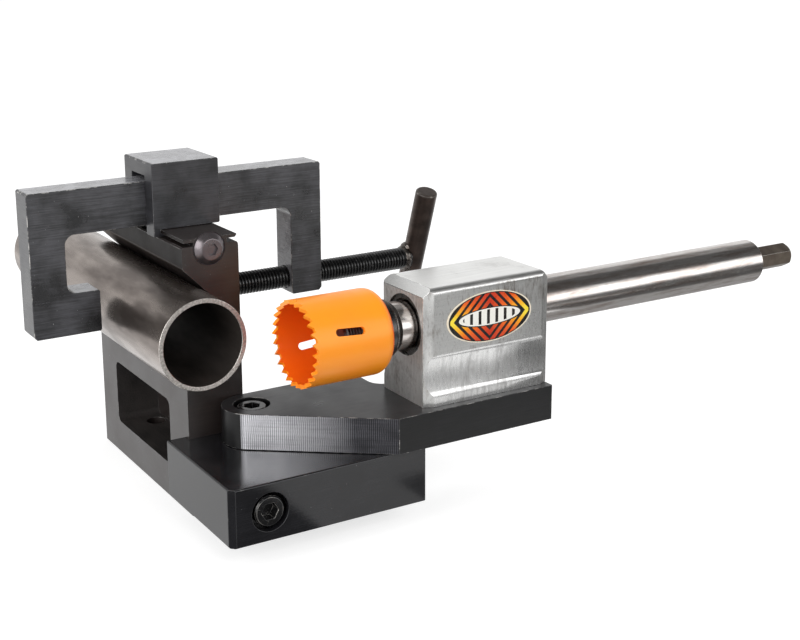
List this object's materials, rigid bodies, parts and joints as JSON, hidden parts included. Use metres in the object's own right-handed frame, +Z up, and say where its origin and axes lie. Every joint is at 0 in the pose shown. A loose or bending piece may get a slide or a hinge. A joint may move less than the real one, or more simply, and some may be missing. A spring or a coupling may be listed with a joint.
{
  "type": "tube notcher",
  "caption": "Bench tube notcher: upright with V and screw clamp on a rail, swinging arm with bearing block, and a feeding spindle with hole saw and hexagonal drive.",
  "frame": {"origin": "centre of the upright's foot, on the bench", "axes": "+Z up, +X to the right along the spindle towards its drive end, +Y to the rear along the clamped tube"},
  "size_m": [0.4423, 0.2849, 0.1852],
  "materials": {
    "black_steel": "black oxide, milled, light worn edges",
    "arm_steel": "black oxide over milled steel",
    "black_fastener": "black oxide, satin",
    "bronze": "turned, oiled",
    "aluminium": "milled, satin",
    "ground_steel": "ground and polished",
    "bearing_steel": "polished",
    "badge": "printed, glossy",
    "saw_paint": "orange enamel",
    "screw_steel": "black oxide, rolled thread",
    "handle_steel": "brown-black bare steel rod",
    "tube_steel": "mill finish, slightly oxidised"
  },
  "bodies": {
    "upright": {"upright_body": "black_steel", "base_block": "black_steel", "base_screw": "black_fastener", "dowel_pins": "bearing_steel", "rail_stop_screw": "black_fastener", "pivot_screw": "black_fastener", "pivot_washer": "bronze", "pivot_bush": "bronze", "pivot_nut": "black_fastener"},
    "arm": {"swing_arm": "arm_steel", "bearing_block": "aluminium", "block_screws": "black_fastener", "shell_left": "bearing_steel", "shell_right": "bearing_steel", "ring_left": "black_fastener", "ring_right": "black_fastener", "badge_plate": "badge"},
    "cages": {"cage_left": "bearing_steel", "cage_right": "bearing_steel"},
    "spindle": {"spindle_shaft": "ground_steel", "spacer_collar": "black_fastener", "hole_saw": "saw_paint"},
    "guide": {"guide_block": "black_steel"},
    "screw": {"clamp_screw": "screw_steel", "screw_handle": "handle_steel", "weld_bead": "handle_steel"},
    "frame": {"clamp_frame": "black_steel"},
    "tube": {"workpiece_tube": "tube_steel"}
  },
  "joints": [
    {"name": "guide_slide", "type": "slide", "parent": "upright", "child": "guide", "axis": [0, 1, 0], "range_m": [-0.0278, 0.058]},
    {"name": "screw_turn", "type": "hinge", "parent": "guide", "child": "screw", "pos_m": [0.08413, -0.01645, 0.10885], "axis": [1, 0, 0], "range_deg": [-830, 1800]},
    {"name": "frame_slide", "type": "slide", "parent": "guide", "child": "frame", "axis": [1, 0, 0], "range_m": [-0.00976, 0.0045]},
    {"name": "arm_swing", "type": "hinge", "parent": "upright", "child": "arm", "pos_m": [0.01293, -0.08, 0.0453], "axis": [0, 0, 1], "range_deg": [-60, 0]},
    {"name": "spindle_spin", "type": "hinge", "parent": "arm", "child": "cages", "pos_m": [0.12423, -0.11375, 0.1027], "axis": [1, 0, 0], "continuous": true},
    {"name": "spindle_feed", "type": "slide", "parent": "cages", "child": "spindle", "axis": [-1, 0, 0], "range_m": [-0.0075, 0.075]},
    {"name": "tube_slide", "type": "slide", "parent": "upright", "child": "tube", "axis": [0, -1, 0], "range_m": [-0.06, 0]}
  ],
  "couplings": [
    {"joint": "screw_turn", "follows": "frame_slide", "rad_per_m": -3215.6}
  ]
}
